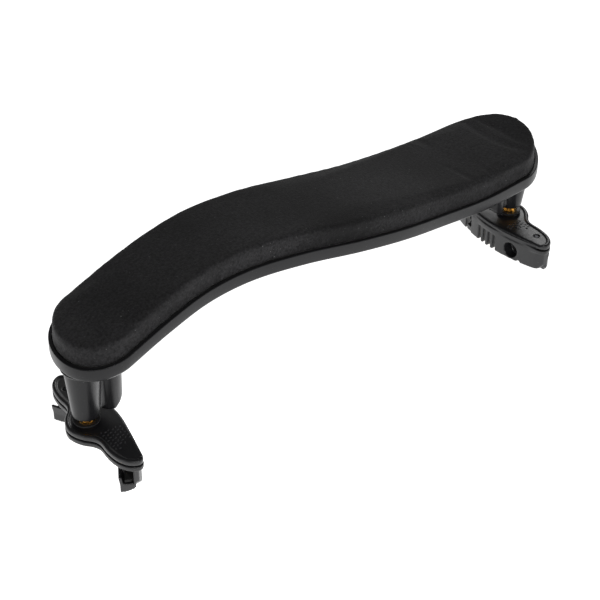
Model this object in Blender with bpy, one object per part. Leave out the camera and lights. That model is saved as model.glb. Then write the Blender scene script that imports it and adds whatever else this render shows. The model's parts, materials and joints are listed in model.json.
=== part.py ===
"""Violin shoulder rest: a padded S-shaped bar on two screw-adjusted feet.

Metres, +Z up. The rest stands on the four claw lips of its feet, pad up, with the
origin on the standing surface, below the middle of the whole object's box.
"""
import math

import bmesh
import bpy
from mathutils import Matrix, Vector

MM = 0.001

# Bar, seen from above. At each station along X: middle line, half width, underside height.
# Heights in this file count up from the top face of the foot plates unless said otherwise.
BAR_STATIONS_MM = (
    (-87.5, 3.7, 17.2, 23.9),
    (-70.0, 5.8, 17.2, 28.0),
    (-52.0, 8.4, 17.4, 30.2),
    (-35.0, 9.5, 18.4, 30.6),
    (-15.0, 8.2, 19.7, 29.5),
    (8.0, 6.4, 20.7, 26.1),
    (28.0, 6.0, 20.8, 22.7),
    (50.0, 8.2, 20.9, 18.5),
    (72.0, 10.0, 21.2, 15.3),
    (92.0, 10.8, 20.7, 14.7),
)
# Past the first and last stations the bar ends in a half ellipse: how far it reaches, how
# far its middle line leans over in Y, and how far it lifts off the line it came in on.
BAR_ENDS_MM = {"left": (16.1, -3.9, 2.7), "right": (21.3, 2.5, 4.1)}
BAR_MIDDLE_STEPS = 36
BAR_CAP_STEPS = 9
BAR_FLOOR = 3.0 * MM
BAR_HEIGHT = 4.9 * MM
RIM_WALL = 1.2 * MM
RIM_ROUND = 0.3 * MM
EDGE_ROUND = 1.0 * MM

# Foam pad and the adhesive sheet under it.
GAP = 0.3 * MM
SHEET_THICKNESS = 0.5 * MM
PAD_TOP = 12.3 * MM
PAD_ROUND = 1.7 * MM
PAD_ROUND_STEPS = 3

# Screw line, feet and legs.
SCREW_X = 96.2 * MM
FOOT_TWIST = math.radians(-5.5)
BOSS_OFFSET = 9.3 * MM
LEG_BOTTOM = {"left": 2.9 * MM, "right": 3.3 * MM}
POST_R = (4.4 * MM, 6.6 * MM)
BOSS_R = (4.1 * MM, 4.6 * MM)
WEB_WIDTH = 5.2 * MM
WEB_LIFT = 1.6 * MM
BOSS_CHAMFER = 4.4 * MM
FLANGE_THICKNESS = 1.0 * MM
FLANGE_R = (6.9 * MM, 5.2 * MM)
# A leg is modelled this far up into the bar, then trimmed to the bar's underside.
LEG_REACH = 4.0 * MM
TRIM_HEIGHT = 30.0 * MM

# Screw train: an M5 stud, pitch 0.8 mm, in threaded inserts.
STUD_R = 2.5 * MM
STUD_TOP = 13.0 * MM
STUD_HEAD_R = 4.0 * MM
STUD_HEAD_HEIGHT = 1.6 * MM
STUD_TIP_CHAMFER = 0.6 * MM
INSERT_BORE_R = 2.65 * MM
INSERT_R = 3.5 * MM
INSERT_LENGTH = 5.0 * MM
SOCKET_R = 2.95 * MM
SOCKET_TOP = {"left": 14.8 * MM, "right": 15.6 * MM}
WASHER_R = (2.85 * MM, 4.4 * MM)
WASHER_THICKNESS = 0.7 * MM

# Leg screws, driven down through the bar's floor into the legs.
LEG_SCREW_R = 1.5 * MM
LEG_SCREW_HEAD_R = 2.7 * MM
LEG_SCREW_HEAD_HEIGHT = 1.5 * MM
LEG_SCREW_LENGTH = {"left": 12.0 * MM, "right": 8.5 * MM}

# Foot outline, half of it: u runs inboard from the screw, v along the foot.
FOOT_HALF_OUTLINE_MM = (
    (-6.9, 0.0),
    (-6.2, 3.2),
    (-4.7, 6.0),
    (-2.9, 8.0),
    (-1.8, 10.0),
    (-1.5, 12.2),
    (-1.7, 15.8),
    (-1.2, 20.4),
    (0.2, 23.8),
    (2.4, 25.9),
    (4.6, 26.3),
    (6.3, 24.6),
    (7.3, 20.4),
    (8.4, 15.4),
    (9.7, 9.0),
    (10.5, 4.4),
    (10.8, 0.0),
)
INNER_ARC_R = 62.0 * MM
INNER_EDGE_U = 10.8 * MM
PLATE_BOTTOM = -2.2 * MM
JAW_TOP = -2.5 * MM
JAW_FLANGE_BOTTOM = -4.2 * MM
PLATE_ROUND = 0.7 * MM

# The jaw's inner wall stands up past the plate's underside, into a rebate in its inner edge.
LEDGE_TOP = -1.2 * MM
LEDGE_WIDTH = 1.9 * MM
LEDGE_V = 23.0 * MM
WALL_THICKNESS = 2.2 * MM
WALL_SET_BACK = 0.2 * MM
WALL_BOTTOM = -11.3 * MM
WALL_NEAR_V = 25.0 * MM
WALL_FAR_V = -9.6 * MM
WALL_END_V = 22.3 * MM
WALL_END_ROUND = 1.5 * MM
HOOK_V = -12.6 * MM
HOOK_TOP = -8.9 * MM
CLAW_WALL_V = (13.6 * MM, 25.0 * MM)

# Claw lips: plan of one lip, and the section along u and z that all lips are cut to.
LIP_PLAN_MM = (
    (-1.3, 22.0),
    (1.7, 23.6),
    (3.1, 24.4),
    (4.2, 24.8),
    (6.7, 19.4),
    (8.0, 14.6),
    (6.6, 13.6),
    (1.8, 16.4),
)
LIP_SECTION_MM = (
    (-3.0, -7.0),
    (-3.0, -13.6),
    (0.4, -13.6),
    (1.7, -13.1),
    (3.4, -12.1),
    (5.6, -11.2),
    (10.0, -11.2),
    (10.0, -7.0),
)
LIP_BOTTOM = -13.6 * MM
LIP_TOP = -10.3 * MM
TOOTH_PLAN_MM = ((-1.2, 22.0), (-0.3, 22.48), (2.7, 16.9), (1.85, 16.45))
TOOTH_TOP = -7.5 * MM
TOOTH_LEAN = 0.6 * MM
CLAW_END_CUT_MM = ((22.6, -12.6), (26.0, -12.6), (26.0, -8.0))
CLAW_END_CUT_U = (2.9 * MM, 9.0 * MM)
GRIP_THICKNESS = 1.0 * MM
GRIP_PLAN_MM = ((0.25, 22.3), (1.9, 23.1), (3.2, 23.1), (4.5, 20.3), (5.4, 17.6), (3.2, 17.1))

# Slots and the blind round hole in the inner wall, and the pad of material behind the hole.
SLOT_COUNT = 4
SLOT_FIRST_V = -3.9 * MM
SLOT_PITCH = 2.7 * MM
SLOT_WIDTH = 1.4 * MM
SLOT_TOP = -4.9 * MM
HOLE_V = 12.3 * MM
HOLE_Z = -7.6 * MM
HOLE_R = 3.0 * MM
HOLE_DEPTH = 3.6 * MM
BACKING_V = (8.2 * MM, 16.4 * MM)
BACKING_THICKNESS = 5.0 * MM
NOTCH_V = 16.0 * MM
NOTCH_R = 0.7 * MM

# Pins from jaw to plate: the first comes up through the plate, the second stops inside it.
PIN_R = 0.8 * MM
PIN_UV_MM = ((2.6, 18.8), (2.6, -18.8))
PIN_TOP = (-0.6 * MM, -1.3 * MM)
PIN_HOLE_TOP = (6.0 * MM, -1.0 * MM)

# How far a cutter runs past what it cuts, and a small step that keeps faces from coinciding.
PAST = 1.0 * MM
STEP = 0.15 * MM

# The whole object's place: the lips' undersides at zero, the box's middle on the origin.
FRAME = Vector((-4.85 * MM, -2.43 * MM, -LIP_BOTTOM))

SIDES = {"left": (-SCREW_X, FOOT_TWIST), "right": (SCREW_X, math.pi + FOOT_TWIST)}


def clear_scene():
    for obj in list(bpy.data.objects):
        bpy.data.objects.remove(obj, do_unlink=True)


def material(name, colour, roughness, metallic=0.0):
    mat = bpy.data.materials.new(name)
    mat.use_nodes = True
    shader = mat.node_tree.nodes["Principled BSDF"]
    shader.inputs["Base Color"].default_value = (*colour, 1.0)
    shader.inputs["Roughness"].default_value = roughness
    shader.inputs["Metallic"].default_value = metallic
    mat.diffuse_color = (*colour, 1.0)
    return mat


def add_object(name, bm, mat=None):
    """Turn a bmesh into an object, faces outwards."""
    bmesh.ops.recalc_face_normals(bm, faces=bm.faces)
    mesh = bpy.data.meshes.new(name)
    bm.to_mesh(mesh)
    bm.free()
    obj = bpy.data.objects.new(name, mesh)
    bpy.context.scene.collection.objects.link(obj)
    if mat is not None:
        mesh.materials.append(mat)
        mesh.shade_smooth()
        mesh.set_sharp_from_angle(angle=math.radians(35))
    return obj


def tool(obj):
    """Mark an object as a boolean operand only."""
    obj.hide_render = True
    obj.display_type = "WIRE"
    return obj


def combine(obj, other, operation):
    """Add a boolean of obj with another object, which stays as a hidden guide."""
    mod = obj.modifiers.new(f"{operation.lower()} {other.name}", "BOOLEAN")
    mod.operation = operation
    mod.solver = "EXACT"
    mod.object = tool(other)
    return obj


def prism(outline, low, high):
    """A bmesh extruded straight up from a closed outline of (x, y)."""
    bm = bmesh.new()
    face = bm.faces.new([bm.verts.new((x, y, low)) for x, y in outline])
    risen = bmesh.ops.extrude_face_region(bm, geom=[face])
    top = [v for v in risen["geom"] if isinstance(v, bmesh.types.BMVert)]
    bmesh.ops.translate(bm, verts=top, vec=(0, 0, high - low))
    return bm


def turned(profile, steps=32):
    """A bmesh turned about Z from a closed ring of (radius, height), run off the axis or on it."""
    bm = bmesh.new()
    rings = []
    for radius, height in profile:
        if radius == 0:
            rings.append([bm.verts.new((0, 0, height))])
            continue
        turn = [math.tau * i / steps for i in range(steps)]
        rings.append([bm.verts.new((radius * math.cos(t), radius * math.sin(t), height)) for t in turn])
    pairs = list(zip(rings, rings[1:]))
    if len(rings[0]) > 1:
        pairs.append((rings[-1], rings[0]))
    for lower, upper in pairs:
        for i in range(steps):
            j = (i + 1) % steps
            corners = [lower[i % len(lower)], lower[j % len(lower)]]
            corners += [upper[j % len(upper)], upper[i % len(upper)]]
            distinct = list(dict.fromkeys(corners))
            if len(distinct) > 2:
                bm.faces.new(distinct)
    return bm


def joined(bm, other):
    """Both bmeshes' bodies in the first one."""
    mesh = bpy.data.meshes.new("joined")
    other.to_mesh(mesh)
    other.free()
    bm.from_mesh(mesh)
    bpy.data.meshes.remove(mesh)
    return bm


def shifted(bm, x=0.0, y=0.0, z=0.0):
    bmesh.ops.translate(bm, verts=bm.verts, vec=(x, y, z))
    return bm


def smooth_value(x, column):
    """Cubic Hermite curve through one column of the bar stations, straight past its ends."""
    xs = [station[0] * MM for station in BAR_STATIONS_MM]
    ys = [station[column] * MM for station in BAR_STATIONS_MM]
    slopes = [(b - a) / (q - p) for a, b, p, q in zip(ys, ys[1:], xs, xs[1:])]
    tangents = [slopes[0], *((a + b) / 2 for a, b in zip(slopes, slopes[1:])), slopes[-1]]
    if x <= xs[0]:
        return ys[0] + tangents[0] * (x - xs[0])
    if x >= xs[-1]:
        return ys[-1] + tangents[-1] * (x - xs[-1])
    k = max(i for i in range(len(xs) - 1) if xs[i] <= x)
    width = xs[k + 1] - xs[k]
    t = (x - xs[k]) / width
    return (
        (1 + 2 * t) * (1 - t) ** 2 * ys[k]
        + t * (1 - t) ** 2 * width * tangents[k]
        + t * t * (3 - 2 * t) * ys[k + 1]
        + t * t * (t - 1) * width * tangents[k + 1]
    )


def past_end(x):
    """(end's name, station's x, how far x lies past it), or None between the two end stations."""
    x_left, x_right = BAR_STATIONS_MM[0][0] * MM, BAR_STATIONS_MM[-1][0] * MM
    if x < x_left:
        return "left", x_left, x_left - x
    if x > x_right:
        return "right", x_right, x - x_right
    return None


def bar_middle(x):
    end = past_end(x)
    if end is None:
        return smooth_value(x, 1)
    side, x_end, over = end
    reach, lean, _ = BAR_ENDS_MM[side]
    return smooth_value(x_end, 1) + lean * MM * (over / (reach * MM)) ** 2


def bar_underside(x):
    end = past_end(x)
    if end is None:
        return smooth_value(x, 3)
    side, _, over = end
    reach, _, lift = BAR_ENDS_MM[side]
    return smooth_value(x, 3) + lift * MM * (over / (reach * MM)) ** 2


def bar_pairs(inset):
    """(x, near y, far y) along the bar's outline drawn in by inset, with round ends."""
    x_left, x_right = BAR_STATIONS_MM[0][0] * MM, BAR_STATIONS_MM[-1][0] * MM
    r_left = BAR_STATIONS_MM[0][2] * MM - inset
    r_right = BAR_STATIONS_MM[-1][2] * MM - inset
    reach_left = BAR_ENDS_MM["left"][0] * MM - inset
    reach_right = BAR_ENDS_MM["right"][0] * MM - inset
    quarter = [math.pi / 2 * i / BAR_CAP_STEPS for i in range(BAR_CAP_STEPS + 1)]
    spans = [(x_left - reach_left * math.cos(t), r_left * math.sin(t)) for t in quarter]
    for i in range(1, BAR_MIDDLE_STEPS):
        x = x_left + (x_right - x_left) * i / BAR_MIDDLE_STEPS
        spans.append((x, smooth_value(x, 2) - inset))
    spans += [(x_right + reach_right * math.cos(t), r_right * math.sin(t)) for t in reversed(quarter)]
    return [(x, bar_middle(x) - half, bar_middle(x) + half) for x, half in spans]


def bar_loft(levels):
    """A closed bmesh from bottom to top: nested outlines, each (inset, height over the underside)."""
    bm = bmesh.new()
    rings = []
    for inset, height in levels:
        pairs = bar_pairs(inset)
        near = [bm.verts.new((x, y, bar_underside(x) + height)) for x, y, _ in pairs]
        far = [bm.verts.new((x, y, bar_underside(x) + height)) for x, _, y in pairs[1:-1]]
        rings.append((near, far))
    for (near_a, far_a), (near_b, far_b) in zip(rings, rings[1:]):
        loop_a, loop_b = near_a + far_a[::-1], near_b + far_b[::-1]
        for i in range(len(loop_a)):
            j = (i + 1) % len(loop_a)
            bm.faces.new((loop_a[i], loop_a[j], loop_b[j], loop_b[i]))
    for near, far in (rings[0], rings[-1]):
        whole_far = [near[0], *far, near[-1]]
        for i in range(len(near) - 1):
            corners = (near[i], near[i + 1], whole_far[i + 1], whole_far[i])
            bm.faces.new(list(dict.fromkeys(corners)))
    # the outlines rise and fall along the bar, so their faces are flat only as triangles
    bmesh.ops.triangulate(bm, faces=bm.faces)
    return bm


def bar(mat):
    """Moulded tray: rounded sides, an upright rim, and a sunk floor for the pad."""
    soft = EDGE_ROUND * (1 - math.sqrt(0.5))
    obj = add_object(
        "bar",
        bar_loft(
            (
                (EDGE_ROUND, 0.0),
                (soft, soft),
                (0.0, EDGE_ROUND),
                (0.0, BAR_HEIGHT - RIM_ROUND),
                (RIM_ROUND, BAR_HEIGHT),
                (RIM_WALL, BAR_HEIGHT),
                (RIM_WALL, BAR_FLOOR),
            )
        ),
        mat,
    )
    for side, (x, _) in SIDES.items():
        boss_x = x - math.copysign(BOSS_OFFSET, x)
        head_seat = bar_underside(boss_x) + BAR_FLOOR - LEG_SCREW_HEAD_HEIGHT - 2 * GAP
        shank, head, reach = LEG_SCREW_R + GAP, LEG_SCREW_HEAD_R + GAP, 5 * MM
        hole = turned(((0, -reach), (shank, -reach), (shank, 0), (head, 0), (head, reach), (0, reach)), 24)
        combine(obj, add_object(f"{side}_bar_screw_hole", shifted(hole, boss_x, 0, head_seat)), "DIFFERENCE")
    # only the right end hangs low enough for the stud to reach up into the bar
    top = SOCKET_TOP["right"]
    bore = shifted(turned(((0, 0), (SOCKET_R, 0), (SOCKET_R, top), (0, top))), SCREW_X)
    combine(obj, add_object("bar_socket", bore), "DIFFERENCE")
    return obj


def adhesive_sheet(mat):
    low = BAR_FLOOR + GAP
    inset = RIM_WALL + 2 * GAP
    return add_object("adhesive_sheet", bar_loft(((inset, low), (inset, low + SHEET_THICKNESS))), mat)


def foam_pad(mat):
    """Foam slab standing out of the rim, with a rounded top edge."""
    low = BAR_FLOOR + SHEET_THICKNESS + 2 * GAP
    side = RIM_WALL + GAP
    levels = [(side, low), (side, PAD_TOP - PAD_ROUND)]
    for i in range(1, PAD_ROUND_STEPS + 1):
        t = math.pi / 2 * i / PAD_ROUND_STEPS
        levels.append((side + PAD_ROUND * (1 - math.cos(t)), PAD_TOP - PAD_ROUND * (1 - math.sin(t))))
    return add_object("foam_pad", bar_loft(levels), mat)


def stadium(x_a, x_b, radius_a, radius_b, steps=16):
    """Outline around two circles on the X axis."""
    sign = 1 if x_b > x_a else -1
    turns = [math.pi * i / steps - math.pi / 2 for i in range(steps + 1)]
    right = [(x_b + sign * radius_b * math.cos(t), radius_b * math.sin(t)) for t in turns]
    left = [(x_a - sign * radius_a * math.cos(t), -radius_a * math.sin(t)) for t in turns]
    return right + left


def leg(side, mat):
    """Tapered socket post and a screw boss inboard of it, joined by a recessed web under one flange."""
    x, _ = SIDES[side]
    inboard = -math.copysign(1, x)
    boss_x = x + inboard * BOSS_OFFSET
    bottom = LEG_BOTTOM[side]
    high = bar_underside(boss_x) + LEG_REACH
    post = turned(((0, bottom), (POST_R[0], bottom), (POST_R[1], high), (0, high)))
    obj = add_object(f"{side}_leg", shifted(post, x), mat)
    boss = turned(((0, bottom), (BOSS_R[0], bottom), (BOSS_R[1], high), (0, high)), 28)
    combine(obj, add_object(f"{side}_boss", shifted(boss, boss_x)), "UNION")
    half = WEB_WIDTH / 2
    web = prism(((x, -half), (boss_x, -half), (boss_x, half), (x, half)), bottom + WEB_LIFT, high)
    combine(obj, add_object(f"{side}_web", web), "UNION")
    flange = add_object(f"{side}_flange", prism(stadium(x, boss_x, *FLANGE_R), bottom + WEB_LIFT, high))
    slab = bar_loft(((-2 * PAST, -FLANGE_THICKNESS - GAP), (-2 * PAST, TRIM_HEIGHT)))
    combine(flange, add_object(f"{side}_flange_slab", slab), "INTERSECT")
    combine(obj, flange, "UNION")
    edge = boss_x + inboard * BOSS_R[0]
    corner = (
        (edge - inboard * (BOSS_CHAMFER + PAST), bottom - PAST),
        (edge + inboard * PAST, bottom - PAST),
        (edge + inboard * PAST, bottom + BOSS_CHAMFER + PAST),
    )
    wedge = prism_along("Y", corner, -BOSS_R[1] - PAST, BOSS_R[1] + PAST)
    combine(obj, add_object(f"{side}_chamfer", wedge), "DIFFERENCE")
    trim = bar_loft(((-2 * PAST, -GAP), (-2 * PAST, TRIM_HEIGHT)))
    combine(obj, add_object(f"{side}_trim", trim), "DIFFERENCE")
    step = bottom + INSERT_LENGTH + 2 * GAP
    seat, top = INSERT_R + GAP, SOCKET_TOP[side]
    low = bottom - PAST
    bore = turned(((0, low), (seat, low), (seat, step), (SOCKET_R, step), (SOCKET_R, top), (0, top)))
    pilot_r = LEG_SCREW_R + GAP
    low = bar_underside(boss_x) + BAR_FLOOR - LEG_SCREW_LENGTH[side] - GAP
    pilot = hole_along_z(pilot_r, low, high + PAST, 24)
    holes = joined(shifted(bore, x), shifted(pilot, boss_x))
    combine(obj, add_object(f"{side}_leg_holes", holes), "DIFFERENCE")
    return obj


def leg_screw(side, mat):
    """Screw driven down through the bar's floor into the leg's boss."""
    x, _ = SIDES[side]
    boss_x = x - math.copysign(BOSS_OFFSET, x)
    top = bar_underside(boss_x) + BAR_FLOOR - GAP
    seat = top - LEG_SCREW_HEAD_HEIGHT
    tip = top + GAP - LEG_SCREW_LENGTH[side]
    profile = (
        (0, tip),
        (LEG_SCREW_R * 0.5, tip),
        (LEG_SCREW_R, tip + 1 * MM),
        (LEG_SCREW_R, seat),
        (LEG_SCREW_HEAD_R, seat),
        (LEG_SCREW_HEAD_R, top - 0.4 * MM),
        (LEG_SCREW_HEAD_R - 0.4 * MM, top),
        (0, top),
    )
    return add_object(f"{side}_leg_screw", shifted(turned(profile, 24), boss_x), mat)


def insert(side, mat):
    """Threaded brass insert, sunk a little into the bottom of its post."""
    low = LEG_BOTTOM[side] + GAP
    high = low + INSERT_LENGTH
    ring = ((INSERT_BORE_R, low), (INSERT_R, low), (INSERT_R, high), (INSERT_BORE_R, high))
    return add_object(f"{side}_insert", shifted(turned(ring), SIDES[side][0]), mat)


def closed_curve(points, steps):
    """Points of a Catmull-Rom curve through a closed ring of points."""
    out = []
    count = len(points)
    for k in range(count):
        a, b, c, d = (Vector(points[(k + j) % count]) for j in (-1, 0, 1, 2))
        for i in range(steps):
            t = i / steps
            square, cube = 2 * a - 5 * b + 4 * c - d, 3 * b - a - 3 * c + d
            out.append(0.5 * (2 * b + (c - a) * t + square * t**2 + cube * t**3))
    return [(p.x, p.y) for p in out]


def foot_outline():
    """The foot's whole outline, its second half mirrored from the first."""
    half = [(u * MM, v * MM) for u, v in FOOT_HALF_OUTLINE_MM]
    ring = half + [(u, -v) for u, v in half[-2:0:-1]]
    return closed_curve(ring, 3)


def inner_edge(v):
    return INNER_EDGE_U - v * v / (2 * INNER_ARC_R)


def wall_face(v):
    """The inner wall's outer face: just behind the plate's edge, and rounded back at its ends."""
    over = max(0.0, abs(v) - WALL_END_V) / (WALL_NEAR_V - WALL_END_V)
    return inner_edge(v) - WALL_SET_BACK - WALL_END_ROUND * over**2


def strip(v_a, v_b, thickness, low, high, steps, behind=0.0):
    """A curved wall that follows the inner wall's face, as a prism."""
    vs = [v_a + (v_b - v_a) * i / steps for i in range(steps + 1)]
    outline = [(wall_face(v) - behind - thickness, v) for v in vs]
    outline += [(wall_face(v) - behind, v) for v in reversed(vs)]
    return prism(outline, low, high)


def hole_along_z(radius, low, high, steps=16, x=0.0, y=0.0):
    return shifted(turned(((0, low), (radius, low), (radius, high), (0, high)), steps), x, y)


def pin_holes(prefix, low):
    """Cutters for the two pins, from a given depth up to where each pin's hole ends."""
    holes = []
    for k, (u, v) in enumerate(PIN_UV_MM):
        bore = hole_along_z(PIN_R + GAP, low, PIN_HOLE_TOP[k], 16, u * MM, v * MM)
        holes.append(add_object(f"{prefix}_pin_hole_{k + 1}", bore))
    return holes


def combine_all(obj, side, bodies, operation):
    """Apply each bmesh to obj by the same boolean, and return the guides that hold them."""
    guides = []
    for name, bm in bodies.items():
        guides.append(add_object(f"{side}_{name}", bm))
        combine(obj, guides[-1], operation)
    return guides


def foot_plate(side, mat):
    """Upper hard plate, with the stud hole, the pin holes and a rebate along its inner edge."""
    obj = add_object(f"{side}_foot_plate", prism(foot_outline(), PLATE_BOTTOM, 0.0), mat)
    bevel = obj.modifiers.new("rounded rim", "BEVEL")
    bevel.width = PLATE_ROUND
    bevel.segments = 2
    bevel.limit_method = "ANGLE"
    bevel.angle_limit = math.radians(60)
    vs = [LEDGE_V * (i / 7 - 1) for i in range(15)]
    depth = LEDGE_WIDTH + GAP + WALL_SET_BACK
    rebate = [(inner_edge(v) - depth, v) for v in vs] + [(inner_edge(v) + PAST, v) for v in reversed(vs)]
    cutters = {
        "plate_stud_hole": hole_along_z(STUD_R + GAP, PLATE_BOTTOM - PAST, PAST, 32),
        "plate_rebate": prism(rebate, PLATE_BOTTOM - PAST, LEDGE_TOP + GAP),
    }
    guides = combine_all(obj, side, cutters, "DIFFERENCE")
    for guide in pin_holes(f"{side}_plate", PLATE_BOTTOM - PAST):
        guides.append(guide)
        combine(obj, guide, "DIFFERENCE")
    return [obj, *guides]


def mirrored(plan, sign):
    """A plan in metres, turned over to the foot's other half where sign is -1."""
    points = [(u * MM, sign * v * MM) for u, v in plan]
    return points if sign > 0 else points[::-1]


def prism_along(axis, outline, low, high):
    """A bmesh swept along X or Y from a closed outline in the plane across it."""
    bm = prism(outline, low, high)
    rows = {"X": ((0, 0, 1), (1, 0, 0), (0, 1, 0)), "Y": ((1, 0, 0), (0, 0, 1), (0, 1, 0))}
    bmesh.ops.transform(bm, matrix=Matrix(rows[axis]).to_4x4(), verts=bm.verts)
    return bm


def claw_lip(side, name, sign):
    """One claw's lip, its underside rising from the tip to the wall."""
    lip = add_object(f"{side}_{name}", prism(mirrored(LIP_PLAN_MM, sign), LIP_BOTTOM - PAST, LIP_TOP))
    outline = [(u * MM, z * MM) for u, z in LIP_SECTION_MM]
    section = prism_along("Y", outline, -WALL_NEAR_V - PAST, WALL_NEAR_V + PAST)
    guide = add_object(f"{side}_{name}_section", section)
    combine(lip, guide, "INTERSECT")
    return lip, guide


def foot_jaw(side, mat):
    """Lower flange, slotted wall along the inner edge, and a claw lip at each end."""
    obj = add_object(f"{side}_foot_jaw", prism(foot_outline(), JAW_FLANGE_BOTTOM, JAW_TOP), mat)
    wall_top = JAW_FLANGE_BOTTOM + 0.9 * MM
    tooth_foot = LIP_TOP - PAST
    bodies = {
        "wall": strip(WALL_FAR_V, WALL_NEAR_V, WALL_THICKNESS, WALL_BOTTOM, wall_top, 16),
        "hook": strip(
            HOOK_V, WALL_FAR_V + PAST, WALL_THICKNESS - 2 * STEP, WALL_BOTTOM + STEP, HOOK_TOP, 3, STEP
        ),
        "claw_wall": strip(-CLAW_WALL_V[1], -CLAW_WALL_V[0], WALL_THICKNESS, WALL_BOTTOM, wall_top, 6),
        "ledge": strip(GAP - LEDGE_V, LEDGE_V - GAP, LEDGE_WIDTH - GAP, JAW_TOP - PAST, LEDGE_TOP, 14, GAP),
        "backing": strip(*BACKING_V, BACKING_THICKNESS, WALL_BOTTOM + STEP, wall_top - STEP, 4, STEP),
    }
    guides = combine_all(obj, side, bodies, "UNION")
    for name, sign in (("near_lip", 1), ("far_lip", -1)):
        lip, guide = claw_lip(side, name, sign)
        combine(obj, lip, "UNION")
        tooth_body = prism(mirrored(TOOTH_PLAN_MM, sign), tooth_foot, TOOTH_TOP)
        crown = [vert for vert in tooth_body.verts if vert.co.z > LIP_TOP]
        bmesh.ops.translate(tooth_body, verts=crown, vec=(-TOOTH_LEAN, 0, 0))
        tooth = add_object(f"{side}_{name}_tooth", tooth_body)
        combine(obj, tooth, "UNION")
        guides += [lip, guide, tooth]
    cutters = {"stud_seat": hole_along_z(STUD_HEAD_R + GAP, JAW_FLANGE_BOTTOM - PAST, JAW_TOP + PAST, 32)}
    for sign in (1, -1):
        corner = [(sign * v * MM, z * MM) for v, z in CLAW_END_CUT_MM]
        cutters[f"claw_end_{sign}"] = prism_along("X", corner[::sign], *CLAW_END_CUT_U)
    for k in range(SLOT_COUNT):
        v = SLOT_FIRST_V + SLOT_PITCH * k
        half = SLOT_WIDTH / 2
        u_in, u_out = wall_face(v) - WALL_THICKNESS - PAST, wall_face(v) + PAST
        plan = ((u_in, v - half), (u_out, v - half), (u_out, v + half), (u_in, v + half))
        cutters[f"slot_{k + 1}"] = prism(plan, WALL_BOTTOM - PAST, SLOT_TOP)
    for name, v, z, radius, depth in (
        ("round_hole", HOLE_V, HOLE_Z, HOLE_R, HOLE_DEPTH),
        ("notch", NOTCH_V, WALL_BOTTOM, NOTCH_R, HOLE_DEPTH),
    ):
        bore = hole_along_z(radius, -depth, depth, 24)
        bmesh.ops.rotate(bore, verts=bore.verts, cent=(0, 0, 0), matrix=Matrix.Rotation(math.pi / 2, 3, "Y"))
        cutters[name] = shifted(bore, wall_face(v), v, z)
    guides += combine_all(obj, side, cutters, "DIFFERENCE")
    for guide in pin_holes(f"{side}_jaw", JAW_FLANGE_BOTTOM - PAST):
        guides.append(guide)
        combine(obj, guide, "DIFFERENCE")
    return [obj, *guides]


def claw_grip(side, k, mat):
    """Rubber pad on one claw lip, behind its tooth."""
    low = LIP_TOP + GAP
    pad = prism(mirrored(GRIP_PLAN_MM, (1, -1)[k]), low, low + GRIP_THICKNESS)
    return add_object(f"{side}_foot_grip_{k + 1}", pad, mat)


def foot_pin(side, k, mat):
    """Pin that holds the plate to the jaw."""
    u, v = PIN_UV_MM[k]
    pin = hole_along_z(PIN_R, JAW_FLANGE_BOTTOM + GAP, PIN_TOP[k], 16, u * MM, v * MM)
    return add_object(f"{side}_foot_pin_{k + 1}", pin, mat)


def stud(side, mat):
    """Brass screw fixed in the foot by its head, running up into the outer socket."""
    seat = JAW_TOP
    profile = (
        (0, seat - STUD_HEAD_HEIGHT),
        (STUD_HEAD_R, seat - STUD_HEAD_HEIGHT),
        (STUD_HEAD_R, seat),
        (STUD_R, seat),
        (STUD_R, STUD_TOP - STUD_TIP_CHAMFER),
        (STUD_R - STUD_TIP_CHAMFER, STUD_TOP),
        (0, STUD_TOP),
    )
    return add_object(f"{side}_stud", turned(profile), mat)


def washer(side, mat):
    low = GAP
    high = GAP + WASHER_THICKNESS
    ring = ((WASHER_R[0], low), (WASHER_R[1], low), (WASHER_R[1], high), (WASHER_R[0], high))
    return add_object(f"{side}_washer", turned(ring), mat)


def empty(name, parent=None, x=0.0):
    obj = bpy.data.objects.new(name, None)
    bpy.context.scene.collection.objects.link(obj)
    obj.parent = parent
    obj.location.x = x
    return obj


def build():
    clear_scene()
    shell = material("black_moulding", (0.016, 0.016, 0.018), 0.42)
    foam = material("black_foam", (0.012, 0.012, 0.013), 0.95)
    glue = material("adhesive_film", (0.30, 0.28, 0.24), 0.6)
    rubber = material("claw_rubber", (0.02, 0.02, 0.02), 0.75)
    brass = material("brass", (0.62, 0.42, 0.16), 0.3, 1.0)
    steel = material("screw_steel", (0.25, 0.25, 0.26), 0.4, 1.0)
    nylon = material("black_nylon", (0.02, 0.02, 0.022), 0.5)

    root = empty("rest_frame")
    root.location = FRAME
    bar(shell)
    adhesive_sheet(glue)
    foam_pad(foam)
    for side in SIDES:
        leg(side, shell)
        leg_screw(side, steel)
        insert(side, brass)
    for obj in [o for o in bpy.data.objects if o.parent is None and o is not root]:
        obj.parent = root
    for side, (x, twist) in SIDES.items():
        height_axis = empty(f"{side}_height_axis", root, x)
        washer(side, nylon).parent = height_axis
        turn_axis = empty(f"{side}_turn_axis", height_axis)
        turn_axis.rotation_euler.z = twist
        pieces = foot_plate(side, shell) + foot_jaw(side, shell) + [stud(side, brass)]
        for k in range(2):
            pieces += [claw_grip(side, k, rubber), foot_pin(side, k, steel)]
        for piece in pieces:
            piece.parent = turn_axis


build()
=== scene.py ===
"""Violin shoulder rest: the finished look of a padded bar on two clawed, screw-adjusted feet.

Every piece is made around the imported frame, in metres, +Z up, and rides on one of its bodies.
"""
import json
import math

import bpy
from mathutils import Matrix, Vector
from mathutils.kdtree import KDTree


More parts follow.
